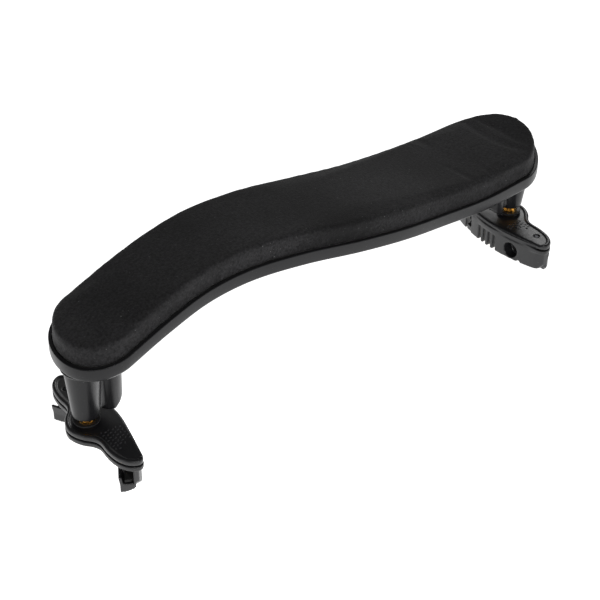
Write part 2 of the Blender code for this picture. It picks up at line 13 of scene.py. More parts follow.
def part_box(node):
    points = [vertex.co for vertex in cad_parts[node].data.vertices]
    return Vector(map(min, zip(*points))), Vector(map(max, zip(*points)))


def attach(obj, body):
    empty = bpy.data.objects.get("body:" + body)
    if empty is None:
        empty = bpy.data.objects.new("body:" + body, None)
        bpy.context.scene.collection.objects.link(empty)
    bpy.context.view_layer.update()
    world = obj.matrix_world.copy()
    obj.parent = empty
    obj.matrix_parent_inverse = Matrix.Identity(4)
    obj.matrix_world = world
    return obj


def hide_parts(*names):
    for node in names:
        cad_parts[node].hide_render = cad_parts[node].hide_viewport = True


bl_info = {
    "name": "Violin Shoulder Rest",
    "version": (1, 0, 0),
    "blender": (4, 5, 0),
    "location": "View3D > Sidebar > Shoulder Rest",
    "description": "Builds the pieces and finishes of a violin shoulder rest, and its stage",
    "category": "Add Mesh",
}

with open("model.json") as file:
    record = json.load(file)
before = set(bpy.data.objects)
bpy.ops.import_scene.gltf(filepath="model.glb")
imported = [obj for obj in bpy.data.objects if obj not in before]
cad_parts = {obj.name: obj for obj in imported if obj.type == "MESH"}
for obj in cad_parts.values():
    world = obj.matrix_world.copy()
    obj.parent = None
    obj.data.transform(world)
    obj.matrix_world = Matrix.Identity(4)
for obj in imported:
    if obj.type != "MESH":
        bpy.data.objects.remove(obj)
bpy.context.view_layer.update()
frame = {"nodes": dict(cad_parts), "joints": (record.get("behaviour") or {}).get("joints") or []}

MM = 0.001
SIDES = ("left", "right")
MERGE = 0.00001
JOINTS = {joint["name"]: joint for joint in frame["joints"]}
LENGTH = {"unit": "LENGTH", "precision": 5}
COLOUR = {"subtype": "COLOR", "size": 3}

# The bar's design: at each station along X from the middle of the two screws, its middle
# line, half width and underside height over the foot plates, all in millimetres.
BAR_STATIONS_MM = (
    (-87.5, 3.7, 17.2, 23.9),
    (-70.0, 5.8, 17.2, 28.0),
    (-52.0, 8.4, 17.4, 30.2),
    (-35.0, 9.5, 18.4, 30.6),
    (-15.0, 8.2, 19.7, 29.5),
    (8.0, 6.4, 20.7, 26.1),
    (28.0, 6.0, 20.8, 22.7),
    (50.0, 8.2, 20.9, 18.5),
    (72.0, 10.0, 21.2, 15.3),
    (92.0, 10.8, 20.7, 14.7),
)
# How far each round end reaches, leans over in Y and lifts, past the first or last station.
BAR_ENDS_MM = {"left": (16.1, -3.9, 2.7), "right": (21.3, 2.5, 4.1)}


def screw_axis(side):
    """The point where a foot's screw crosses the top of its plate."""
    return Vector(JOINTS[f"{side}_turn"]["pos_m"])


def foot_axes(side):
    """Unit vectors across the foot, from the screw inboard, and along it."""
    ends = [sum(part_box(f"{side}_foot_pin_{k}"), Vector()) / 2 for k in (1, 2)]
    along = ends[0] - ends[1]
    along.z = 0
    along.normalize()
    return Vector((along.y, -along.x, 0)), along


BAR_ORIGIN = (screw_axis("left") + screw_axis("right")) / 2


class RestSizes(bpy.types.PropertyGroup):
    """Sizes that the frame leaves open."""

    pad_voxel: bpy.props.FloatProperty(
        name="Pad mesh size", description="Size of the foam pad's mesh before it swells",
        default=1.0 * MM, **LENGTH)
    pad_pressure: bpy.props.FloatProperty(
        name="Pad pressure", description="How hard the foam pushes out against its skin", default=4.0)
    pad_swell: bpy.props.FloatProperty(
        name="Pad swell", description="The most that a point of the foam may move out",
        default=0.45 * MM, **LENGTH)
    pad_start_inset: bpy.props.FloatProperty(
        name="Pad start inset", description="How far the foam starts inside its final surface",
        default=0.3 * MM, **LENGTH)
    rim_height: bpy.props.FloatProperty(
        name="Rim height", description="Height of the bar's rim over its underside",
        default=4.9 * MM, **LENGTH)
    rim_wall: bpy.props.FloatProperty(
        name="Rim wall", description="Width of the bar's rim, seen from above",
        default=1.2 * MM, **LENGTH)
    floor_height: bpy.props.FloatProperty(
        name="Tray floor", description="Height of the tray's floor over the bar's underside",
        default=3.0 * MM, **LENGTH)
    rim_round: bpy.props.FloatProperty(
        name="Rim round", description="Radius of the bar's upper edges",
        default=0.35 * MM, **LENGTH)
    belly_round: bpy.props.FloatProperty(
        name="Belly round", description="Radius of the bar's lower edge",
        default=1.1 * MM, **LENGTH)
    moulding_voxel: bpy.props.FloatProperty(
        name="Moulding mesh size", description="Size of the legs' and feet's mesh",
        default=0.26 * MM, **LENGTH)
    plate_recess: bpy.props.FloatProperty(
        name="Plate recess", description="How deep a foot plate's top lies inside its raised rim",
        default=0.38 * MM, **LENGTH)
    plate_rim: bpy.props.FloatProperty(
        name="Plate rim", description="Width of the raised rim around a foot plate",
        default=0.9 * MM, **LENGTH)
    thread_pitch: bpy.props.FloatProperty(
        name="Thread pitch", description="Pitch of the studs' M5 thread",
        default=0.8 * MM, **LENGTH)
    thread_depth: bpy.props.FloatProperty(
        name="Thread depth", description="Depth of the studs' thread",
        default=0.46 * MM, **LENGTH)


class RestColours(bpy.types.PropertyGroup):
    """Base colours of the finishes."""

    plastic: bpy.props.FloatVectorProperty(
        name="Moulded plastic", description="Colour of the bar, legs and feet",
        **COLOUR, default=(0.009, 0.009, 0.010))
    foam: bpy.props.FloatVectorProperty(
        name="Foam", description="Colour of the foam pad's skin",
        **COLOUR, default=(0.0145, 0.0142, 0.0150))
    rubber: bpy.props.FloatVectorProperty(
        name="Rubber", description="Colour of the claws' pads",
        **COLOUR, default=(0.008, 0.008, 0.008))
    brass: bpy.props.FloatVectorProperty(
        name="Brass", description="Colour of the studs and inserts",
        **COLOUR, default=(0.95, 0.64, 0.24))
    steel: bpy.props.FloatVectorProperty(
        name="Blackened steel", description="Colour of the pins and the legs' screws",
        **COLOUR, default=(0.05, 0.05, 0.055))
    adhesive: bpy.props.FloatVectorProperty(
        name="Adhesive", description="Colour of the film under the foam",
        **COLOUR, default=(0.014, 0.014, 0.014))
    floor: bpy.props.FloatVectorProperty(
        name="Floor", description="Colour of the studio floor",
        **COLOUR, default=(0.93, 0.93, 0.93))


class RestStage(bpy.types.PropertyGroup):
    """The camera and the light."""

    lens: bpy.props.FloatProperty(
        name="Lens", description="Focal length of the camera on a 36 mm sensor, in millimetres",
        default=101.6)
    station: bpy.props.FloatVectorProperty(
        name="Camera", description="Where the camera stands, from the middle of the two screws",
        subtype="XYZ", unit="LENGTH", size=3, default=(-0.3148, -0.3609, 0.3416))
    pitch: bpy.props.FloatProperty(
        name="Camera tilt", description="Turn of the camera up from straight down",
        subtype="ANGLE", default=math.radians(54.72))
    heading: bpy.props.FloatProperty(
        name="Camera heading", description="Turn of the camera about the upright",
        subtype="ANGLE", default=math.radians(-40.43))
    sky: bpy.props.FloatProperty(
        name="Studio light", description="Strength of the even light from all round", default=0.12)
    floor_glow: bpy.props.FloatProperty(
        name="Floor glow", description="Strength of the light that comes up from the floor", default=1.0)
    spot_glow: bpy.props.FloatProperty(
        name="Spot glow", description="Strength of the light from below at the high end's leg", default=2.6)


def sizes():
    return bpy.context.scene.rest_sizes


def colours():
    return bpy.context.scene.rest_colours


# ---------------------------------------------------------------- the bar's curves


def station_value(x, column):
    """Cubic Hermite curve through one column of the bar's stations, straight past its ends."""
    xs = [station[0] for station in BAR_STATIONS_MM]
    ys = [station[column] for station in BAR_STATIONS_MM]
    slopes = [(b - a) / (q - p) for a, b, p, q in zip(ys, ys[1:], xs, xs[1:])]
    tangents = [slopes[0], *((a + b) / 2 for a, b in zip(slopes, slopes[1:])), slopes[-1]]
    if x <= xs[0]:
        return ys[0] + tangents[0] * (x - xs[0])
    if x >= xs[-1]:
        return ys[-1] + tangents[-1] * (x - xs[-1])
    k = max(i for i in range(len(xs) - 1) if xs[i] <= x)
    width = xs[k + 1] - xs[k]
    t = (x - xs[k]) / width
    value = (1 + 2 * t) * (1 - t) ** 2 * ys[k] + t * t * (3 - 2 * t) * ys[k + 1]
    return value + t * (1 - t) * width * ((1 - t) * tangents[k] - t * tangents[k + 1])


def bar_line(x):
    """(middle line, underside height) of the bar at x, both in millimetres."""
    for side, end in (("left", 0), ("right", -1)):
        x_end = BAR_STATIONS_MM[end][0]
        over = (x_end - x) if side == "left" else (x - x_end)
        if over > 0:
            reach, lean, lift = BAR_ENDS_MM[side]
            share = (over / reach) ** 2
            return station_value(x_end, 1) + lean * share, station_value(x, 3) + lift * share
    return station_value(x, 1), station_value(x, 3)


def bar_ring(inset, height, middle_steps=84, cap_steps=20):
    """Points once round the bar's outline, drawn in by inset and at a height over the underside."""
    inset_mm, height_mm = inset / MM, height / MM
    spans = []
    for side, end, sign in (("left", 0, -1), ("right", -1, 1)):
        x_end, _, half, _ = BAR_STATIONS_MM[end]
        reach = BAR_ENDS_MM[side][0] - inset_mm
        turns = [math.pi / 2 * (i + 0.5) / (cap_steps + 0.5) for i in range(cap_steps)]
        cap = [(x_end + sign * reach * math.cos(t), (half - inset_mm) * math.sin(t)) for t in turns]
        spans.append(cap if side == "left" else cap[::-1])
    x_left, x_right = BAR_STATIONS_MM[0][0], BAR_STATIONS_MM[-1][0]
    xs = [x_left + (x_right - x_left) * i / middle_steps for i in range(middle_steps + 1)]
    row = spans[0] + [(x, station_value(x, 2) - inset_mm) for x in xs] + spans[1]
    near, far = [], []
    for x, half in row:
        middle, underside = bar_line(x)
        near.append(BAR_ORIGIN + Vector((x, middle - half, underside + height_mm)) * MM)
        far.append(BAR_ORIGIN + Vector((x, middle + half, underside + height_mm)) * MM)
    return near + far[::-1]


# ---------------------------------------------------------------- modelling steps


def start():
    """Leave edit mode and select nothing."""
    if bpy.context.object and bpy.context.object.mode != "OBJECT":
        bpy.ops.object.mode_set(mode="OBJECT")
    bpy.ops.object.select_all(action="DESELECT")


def take(obj):
    """Make obj the only selected one, and active."""
    start()
    obj.select_set(True)
    bpy.context.view_layer.objects.active = obj
    return obj


def new_piece(name):
    """The primitive that was just added, named."""
    obj = bpy.context.object
    obj.name = name
    obj.data.name = name
    return obj


def settle(obj):
    """Put a piece's place into its mesh."""
    take(obj)
    bpy.ops.object.transform_apply(location=True, rotation=True, scale=True)
    return obj


def join(objs, name):
    """One object out of several."""
    start()
    for obj in objs:
        obj.select_set(True)
    bpy.context.view_layer.objects.active = objs[0]
    bpy.ops.object.join()
    return new_piece(name)


def apply_modifiers(obj):
    take(obj)
    for modifier in list(obj.modifiers):
        bpy.ops.object.modifier_apply(modifier=modifier.name)
    return obj


def edit_all(obj):
    """Open the whole of obj's mesh for editing."""
    take(obj)
    bpy.ops.object.mode_set(mode="EDIT")
    bpy.ops.mesh.select_all(action="SELECT")


def copy_of(node, name):
    """A merged copy of a CAD node, without its loose corners and stored normals."""
    obj = bpy.data.objects.new(name, frame["nodes"][node].data.copy())
    bpy.context.scene.collection.objects.link(obj)
    obj.data.name = name
    obj.data.materials.clear()
    take(obj)
    bpy.ops.mesh.customdata_custom_splitnormals_clear()
    edit_all(obj)
    bpy.ops.mesh.remove_doubles(threshold=MERGE)
    bpy.ops.object.mode_set(mode="OBJECT")
    return obj


def remesh(obj, voxel):
    modifier = obj.modifiers.new("even mesh", "REMESH")
    modifier.mode = "VOXEL"
    modifier.voxel_size = voxel
    return apply_modifiers(obj)


def relax(obj, factor, times):
    modifier = obj.modifiers.new("moulded fillets", "SMOOTH")
    modifier.factor = factor
    modifier.iterations = times
    return apply_modifiers(obj)


def round_edges(obj, width, segments=3, angle=40):
    modifier = obj.modifiers.new("rounded edges", "BEVEL")
    modifier.width = width
    modifier.segments = segments
    modifier.limit_method = "ANGLE"
    modifier.angle_limit = math.radians(angle)
    return apply_modifiers(obj)


def outward(obj):
    """Faces outwards, after doubles are merged."""
    edit_all(obj)
    bpy.ops.mesh.remove_doubles(threshold=MERGE)
    bpy.ops.mesh.normals_make_consistent(inside=False)
    bpy.ops.object.mode_set(mode="OBJECT")
    return obj


def shade(obj, degrees=40):
    take(obj)
    bpy.ops.object.shade_smooth_by_angle(angle=math.radians(degrees))
    return obj


def finish_piece(obj, material, body, slot, *nodes):
    """Give a finished piece its material and its body, and hide the CAD nodes that it stands for. The slot
    is not used.
    """
    obj.data.materials.clear()
    obj.data.materials.append(material)
    if nodes:
        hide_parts(*nodes)
    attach(obj, body)
    return obj


def moulded_copy(node, name, voxel, times):
    """A hard moulding remade with an even mesh, so that all its corners get small fillets."""
    obj = remesh(copy_of(node, name), voxel)
    relax(obj, 0.5, times)
    return shade(obj, 60)


def edged_copy(node, name, width, sharpest, smoothest):
    """A copy of a small CAD node whose edges over one angle are rounded, shaded smooth to another."""
    obj = round_edges(copy_of(node, name), width, 3, sharpest)
    return shade(obj, smoothest)


# ---------------------------------------------------------------- materials


def blank_material(name):
    """A new material, with its empty nodes and links."""
    mat = bpy.data.materials.new(name)
    mat.use_nodes = True
    mat.node_tree.nodes.clear()
    return mat, mat.node_tree.nodes, mat.node_tree.links


def lay_out(groups, shader, output):
    """Set each node in its effect's frame, in a column of its own, and the surface to the right."""
    left, top, column_width, row_height = -1500, 700, 230, 420
    for row, (holder, members) in enumerate(groups):
        for column, node in enumerate(members):
            node.parent = holder
            node.location = (left + column_width * column, top - row_height * row)
    shader.location = (300, 300)
    output.location = (620, 300)


def toned(colour, factor):
    """An opaque colour, darker or lighter than the given one."""
    return (*[c * factor for c in colour], 1)


def moulded_plastic(name, colour, roughness, specular, grain_mm, scuffs):
    """Satin moulded plastic: spark-eroded grain, flow marks, and scuffs on the outer edges."""
    mat, nodes, links = blank_material(name)

    colour_frame = nodes.new("NodeFrame")
    colour_frame.label = "Colour of the moulding"
    gloss_frame = nodes.new("NodeFrame")
    gloss_frame.label = "Gloss and handling marks"
    wear_frame = nodes.new("NodeFrame")
    wear_frame.label = "Scuffed edges"
    relief_frame = nodes.new("NodeFrame")
    relief_frame.label = "Mould grain and flow"

    place = nodes.new("ShaderNodeTexCoord")
    place.label = "Place on the part"
    flow = nodes.new("ShaderNodeTexNoise")
    flow.label = "Flow of the melt"
    tint = nodes.new("ShaderNodeMix")
    tint.label = "Slightly uneven black"
    tint.data_type = "RGBA"
    tint.inputs["A"].default_value = toned(colour, 0.75)
    tint.inputs["B"].default_value = toned(colour, 1.35)

    marks = nodes.new("ShaderNodeTexNoise")
    marks.label = "Handling marks"
    marks.inputs["Roughness"].default_value = 0.65
    gloss = nodes.new("ShaderNodeMapRange")
    gloss.label = "Satin to dull"
    gloss.inputs["To Min"].default_value = roughness - 0.07
    gloss.inputs["To Max"].default_value = roughness + 0.09
    dust = nodes.new("ShaderNodeTexNoise")
    dust.label = "Dust specks"
    specks = nodes.new("ShaderNodeValToRGB")
    specks.label = "Only the sharpest specks"
    specks.color_ramp.elements[0].position = 0.74
    specks.color_ramp.elements[1].position = 0.80

    rounded = nodes.new("ShaderNodeBevel")
    rounded.label = "Rounded normal"
    rounded.samples = 4
    rounded.inputs["Radius"].default_value = 0.0005
    surface = nodes.new("ShaderNodeNewGeometry")
    surface.label = "Surface normal"
    nearness = nodes.new("ShaderNodeVectorMath")
    nearness.label = "How flat it is here"
    nearness.operation = "DOT_PRODUCT"
    edge = nodes.new("ShaderNodeMapRange")
    edge.label = "Edges only"
    edge.inputs["From Min"].default_value = 0.97
    edge.inputs["From Max"].default_value = 0.80
    broken = nodes.new("ShaderNodeTexNoise")
    broken.label = "Broken up along the edge"
    scuff = nodes.new("ShaderNodeMath")
    scuff.label = "Scuffs"
    scuff.operation = "MULTIPLY"
    amount = nodes.new("ShaderNodeMath")
    amount.label = "How scuffed"
    amount.operation = "MULTIPLY"
    amount.inputs[1].default_value = scuffs
    worn = nodes.new("ShaderNodeMix")
    worn.label = "Greyed by scuffs"
    worn.data_type = "RGBA"
    worn.inputs["B"].default_value = (0.05, 0.05, 0.05, 1)
    dusty = nodes.new("ShaderNodeMix")
    dusty.label = "With dust"
    dusty.data_type = "RGBA"
    dusty.inputs["B"].default_value = (0.10, 0.10, 0.10, 1)

    grain = nodes.new("ShaderNodeTexVoronoi")
    grain.label = "Spark-eroded grain"
    grain.feature = "SMOOTH_F1"
    grain.inputs["Scale"].default_value = 1 / (grain_mm * MM)
    sink = nodes.new("ShaderNodeTexNoise")
    sink.label = "Sink and flow marks"
    fine = nodes.new("ShaderNodeBump")
    fine.label = "Fine grain"
    broad = nodes.new("ShaderNodeBump")
    broad.label = "Broad flow"

    shader = nodes.new("ShaderNodeBsdfPrincipled")
    shader.label = "Moulded plastic"
    shader.inputs["IOR"].default_value = 1.49
    shader.inputs["Specular IOR Level"].default_value = specular
    output = nodes.new("ShaderNodeOutputMaterial")
    output.label = "Surface"

    noises = ((flow, 38, 3), (marks, 240, 5), (dust, 2600, 1), (broken, 900, 4), (sink, 90, 2))
    for noise, scale, detail in noises:
        noise.inputs["Scale"].default_value = scale
        noise.inputs["Detail"].default_value = detail
    bumps = ((fine, 0.22, 0.00003), (broad, 0.30, 0.00016))
    for bump, strength, distance in bumps:
        bump.inputs["Strength"].default_value = strength
        bump.inputs["Distance"].default_value = distance

    for texture in (flow, marks, dust, broken, grain, sink):
        links.new(place.outputs["Object"], texture.inputs["Vector"])
    links.new(flow.outputs["Fac"], tint.inputs["Factor"])
    links.new(marks.outputs["Fac"], gloss.inputs["Value"])
    links.new(dust.outputs["Fac"], specks.inputs["Fac"])
    links.new(rounded.outputs["Normal"], nearness.inputs[0])
    links.new(surface.outputs["Normal"], nearness.inputs[1])
    links.new(nearness.outputs["Value"], edge.inputs["Value"])
    links.new(edge.outputs["Result"], scuff.inputs[0])
    links.new(broken.outputs["Fac"], scuff.inputs[1])
    links.new(scuff.outputs["Value"], amount.inputs[0])
    links.new(tint.outputs["Result"], worn.inputs["A"])
    links.new(amount.outputs["Value"], worn.inputs["Factor"])
    links.new(worn.outputs["Result"], dusty.inputs["A"])
    links.new(specks.outputs["Color"], dusty.inputs["Factor"])
    links.new(sink.outputs["Fac"], broad.inputs["Height"])
    links.new(grain.outputs["Distance"], fine.inputs["Height"])
    links.new(broad.outputs["Normal"], fine.inputs["Normal"])
    links.new(dusty.outputs["Result"], shader.inputs["Base Color"])
    links.new(gloss.outputs["Result"], shader.inputs["Roughness"])
    links.new(fine.outputs["Normal"], shader.inputs["Normal"])
    links.new(shader.outputs["BSDF"], output.inputs["Surface"])
    lay_out((
        (colour_frame, (place, flow, tint, worn, dusty)),
        (gloss_frame, (marks, gloss, dust, specks)),
        (wear_frame, (rounded, surface, nearness, edge, broken, scuff, amount)),
        (relief_frame, (grain, sink, broad, fine)),
    ), shader, output)
    return mat


def foam_skin():
    """Fine closed-cell foam: tiny open cells with painted shade in their pits, a soft nap at grazing
    angles, a painted highlight along the rounded edges, and lint.
    """
    colour = colours().foam
    mat, nodes, links = blank_material("black_foam")

    colour_frame = nodes.new("NodeFrame")
    colour_frame.label = "Colour of the foam"
    edge_frame = nodes.new("NodeFrame")
    edge_frame.label = "Painted edge highlight"
    lint_frame = nodes.new("NodeFrame")
    lint_frame.label = "Lint and dust"
    relief_frame = nodes.new("NodeFrame")
    relief_frame.label = "Cells and nap"

    place = nodes.new("ShaderNodeTexCoord")
    place.label = "Place on the pad"
    cells = nodes.new("ShaderNodeTexVoronoi")
    cells.label = "Foam cells"
    cells.inputs["Scale"].default_value = 1 / (0.42 * MM)
    # Painted shade: the foam's colour is darkened in the middle of each cell, where its pit lies, and
    # lightened towards the cell's rim.
    shadowed = nodes.new("ShaderNodeMapRange")
    shadowed.label = "Painted shade inside each cell"
    shadowed.inputs["From Max"].default_value = 0.6
    shadowed.inputs["To Min"].default_value = 0.55
    shadowed.inputs["To Max"].default_value = 1.25
    patches = nodes.new("ShaderNodeTexNoise")
    patches.label = "Rubbed patches"
    mottle = nodes.new("ShaderNodeTexNoise")
    mottle.label = "Mottle of open and closed cells"
    both = nodes.new("ShaderNodeMath")
    both.label = "Patches and mottle"
    both.operation = "MULTIPLY"
    both.use_clamp = True
    contrast = nodes.new("ShaderNodeMapRange")
    contrast.label = "Contrast of the mottle"
    contrast.inputs["From Min"].default_value = 0.14
    contrast.inputs["From Max"].default_value = 0.38
    tint = nodes.new("ShaderNodeMix")
    tint.label = "Rubbed and fresh foam"
    tint.data_type = "RGBA"
    tint.inputs["A"].default_value = toned(colour, 0.45)
    tint.inputs["B"].default_value = toned(colour, 1.65)
    with_painted_cell_shade = nodes.new("ShaderNodeMix")
    with_painted_cell_shade.label = "With the cells' painted shade"
    with_painted_cell_shade.data_type = "RGBA"
    with_painted_cell_shade.blend_type = "MULTIPLY"
    with_painted_cell_shade.inputs["Factor"].default_value = 1.0

    # Painted highlight: the foam's colour is lightened along its rounded edges, as if they caught the
    # light.
    rounded = nodes.new("ShaderNodeBevel")
    rounded.label = "Rounded normal"
    rounded.samples = 4
    rounded.inputs["Radius"].default_value = 0.0016
    surface = nodes.new("ShaderNodeNewGeometry")
    surface.label = "Surface normal"
    flatness = nodes.new("ShaderNodeVectorMath")
    flatness.label = "How flat it is here"
    flatness.operation = "DOT_PRODUCT"
    crease = nodes.new("ShaderNodeMapRange")
    crease.label = "Along the rounded edges"
    crease.inputs["From Min"].default_value = 0.985
    crease.inputs["From Max"].default_value = 0.90
    crease.inputs["To Max"].default_value = 0.15
    painted_edge_highlight = nodes.new("ShaderNodeMix")
    painted_edge_highlight.label = "Lightened by painted highlight"
    painted_edge_highlight.data_type = "RGBA"
    painted_edge_highlight.inputs["B"].default_value = toned(colour, 2.6)

    lint = nodes.new("ShaderNodeTexNoise")
    lint.label = "Lint"
    caught = nodes.new("ShaderNodeValToRGB")
    caught.label = "A speck here and there"
    caught.color_ramp.elements[0].position = 0.765
    caught.color_ramp.elements[1].position = 0.80
    linty = nodes.new("ShaderNodeMix")
    linty.label = "Foam with lint"
    linty.data_type = "RGBA"
    linty.inputs["B"].default_value = (0.13, 0.13, 0.13, 1)

    nap = nodes.new("ShaderNodeTexNoise")
    nap.label = "Nap"
    nap.inputs["Roughness"].default_value = 0.7
    swell = nodes.new("ShaderNodeTexNoise")
    swell.label = "Soft unevenness"
    uneven = nodes.new("ShaderNodeBump")
    uneven.label = "Soft hills"
    pits = nodes.new("ShaderNodeBump")
    pits.label = "Cells as pits"
    fuzz = nodes.new("ShaderNodeBump")
    fuzz.label = "Nap on the cells"

    shader = nodes.new("ShaderNodeBsdfPrincipled")
    shader.label = "Foam"
    shader.inputs["Roughness"].default_value = 0.92
    shader.inputs["Specular IOR Level"].default_value = 0.22
    shader.inputs["Sheen Weight"].default_value = 0.10
    shader.inputs["Sheen Roughness"].default_value = 0.45
    output = nodes.new("ShaderNodeOutputMaterial")
    output.label = "Surface"

    noises = ((patches, 26, 4), (mottle, 1100, 3), (lint, 1500, 1), (nap, 900, 6), (swell, 60, 2))
    for noise, scale, detail in noises:
        noise.inputs["Scale"].default_value = scale
        noise.inputs["Detail"].default_value = detail
    bumps = ((uneven, 0.35, 0.0003), (pits, 0.55, 0.00012), (fuzz, 0.45, 0.00008))
    for bump, strength, distance in bumps:
        bump.inputs["Strength"].default_value = strength
        bump.inputs["Distance"].default_value = distance

    for texture in (cells, patches, mottle, lint, nap, swell):
        links.new(place.outputs["Object"], texture.inputs["Vector"])
    links.new(cells.outputs["Distance"], shadowed.inputs["Value"])
    links.new(patches.outputs["Fac"], both.inputs[0])
    links.new(mottle.outputs["Fac"], both.inputs[1])
    links.new(both.outputs["Value"], contrast.inputs["Value"])
    links.new(contrast.outputs["Result"], tint.inputs["Factor"])
    links.new(tint.outputs["Result"], with_painted_cell_shade.inputs["A"])
    links.new(shadowed.outputs["Result"], with_painted_cell_shade.inputs["B"])
    links.new(lint.outputs["Fac"], caught.inputs["Fac"])
    links.new(rounded.outputs["Normal"], flatness.inputs[0])
    links.new(surface.outputs["Normal"], flatness.inputs[1])
    links.new(flatness.outputs["Value"], crease.inputs["Value"])
    links.new(crease.outputs["Result"], painted_edge_highlight.inputs["Factor"])
    links.new(with_painted_cell_shade.outputs["Result"], painted_edge_highlight.inputs["A"])
    links.new(painted_edge_highlight.outputs["Result"], linty.inputs["A"])
    links.new(caught.outputs["Color"], linty.inputs["Factor"])
    links.new(swell.outputs["Fac"], uneven.inputs["Height"])
    links.new(cells.outputs["Distance"], pits.inputs["Height"])
    links.new(uneven.outputs["Normal"], pits.inputs["Normal"])
    links.new(nap.outputs["Fac"], fuzz.inputs["Height"])
    links.new(pits.outputs["Normal"], fuzz.inputs["Normal"])
    links.new(linty.outputs["Result"], shader.inputs["Base Color"])
    links.new(fuzz.outputs["Normal"], shader.inputs["Normal"])
    links.new(shader.outputs["BSDF"], output.inputs["Surface"])
    lay_out((
        (colour_frame, (place, cells, shadowed, patches, mottle, both, contrast, tint, with_painted_cell_shade)),
        (edge_frame, (rounded, surface, flatness, crease, painted_edge_highlight)),
        (lint_frame, (lint, caught, linty)),
        (relief_frame, (swell, nap, uneven, pits, fuzz)),
    ), shader, output)
    return mat


def turned_metal(name, colour, roughness, ring_mm, tarnish):
    """Lathe-turned metal: fine rings about the screw's axis, and tarnish in patches."""
    mat, nodes, links = blank_material(name)

    colour_frame = nodes.new("NodeFrame")
    colour_frame.label = "Metal and tarnish"
    gloss_frame = nodes.new("NodeFrame")
    gloss_frame.label = "Uneven polish"
    relief_frame = nodes.new("NodeFrame")
    relief_frame.label = "Turning marks"

    place = nodes.new("ShaderNodeTexCoord")
    place.label = "Place on the part"
    patches = nodes.new("ShaderNodeTexNoise")
    patches.label = "Tarnish patches"
    spread = nodes.new("ShaderNodeMapRange")
    spread.label = "How far it has spread"
    spread.inputs["From Min"].default_value = 0.45
    spread.inputs["From Max"].default_value = 0.75
    spread.inputs["To Max"].default_value = tarnish
    tint = nodes.new("ShaderNodeMix")
    tint.label = "Bright to tarnished"
    tint.data_type = "RGBA"
    tint.inputs["A"].default_value = (*colour, 1)
    tint.inputs["B"].default_value = toned(colour, 0.45)
    smears = nodes.new("ShaderNodeTexNoise")
    smears.label = "Smears"
    gloss = nodes.new("ShaderNodeMapRange")
    gloss.label = "Polish"
    gloss.inputs["To Min"].default_value = roughness - 0.06
    gloss.inputs["To Max"].default_value = roughness + 0.12
    rings = nodes.new("ShaderNodeTexWave")
    rings.label = "Turning rings"
    rings.bands_direction = "Z"
    rings.inputs["Scale"].default_value = 1 / (ring_mm * MM) / 20
    rings.inputs["Distortion"].default_value = 1.2
    cut = nodes.new("ShaderNodeBump")
    cut.label = "Cut by the tool"
    cut.inputs["Strength"].default_value = 0.25
    cut.inputs["Distance"].default_value = 0.00002
    shader = nodes.new("ShaderNodeBsdfPrincipled")
    shader.label = "Metal"
    shader.inputs["Metallic"].default_value = 1.0
    output = nodes.new("ShaderNodeOutputMaterial")
    output.label = "Surface"

    noises = ((patches, 420, 4), (smears, 700, 3))
    for noise, scale, detail in noises:
        noise.inputs["Scale"].default_value = scale
        noise.inputs["Detail"].default_value = detail

    for texture in (patches, smears, rings):
        links.new(place.outputs["Object"], texture.inputs["Vector"])
    links.new(patches.outputs["Fac"], spread.inputs["Value"])
    links.new(spread.outputs["Result"], tint.inputs["Factor"])
    links.new(smears.outputs["Fac"], gloss.inputs["Value"])
    links.new(rings.outputs["Fac"], cut.inputs["Height"])
    links.new(tint.outputs["Result"], shader.inputs["Base Color"])
    links.new(gloss.outputs["Result"], shader.inputs["Roughness"])
    links.new(cut.outputs["Normal"], shader.inputs["Normal"])
    links.new(shader.outputs["BSDF"], output.inputs["Surface"])
    lay_out((
        (colour_frame, (place, patches, spread, tint)),
        (gloss_frame, (smears, gloss)),
        (relief_frame, (rings, cut)),
    ), shader, output)
    return mat


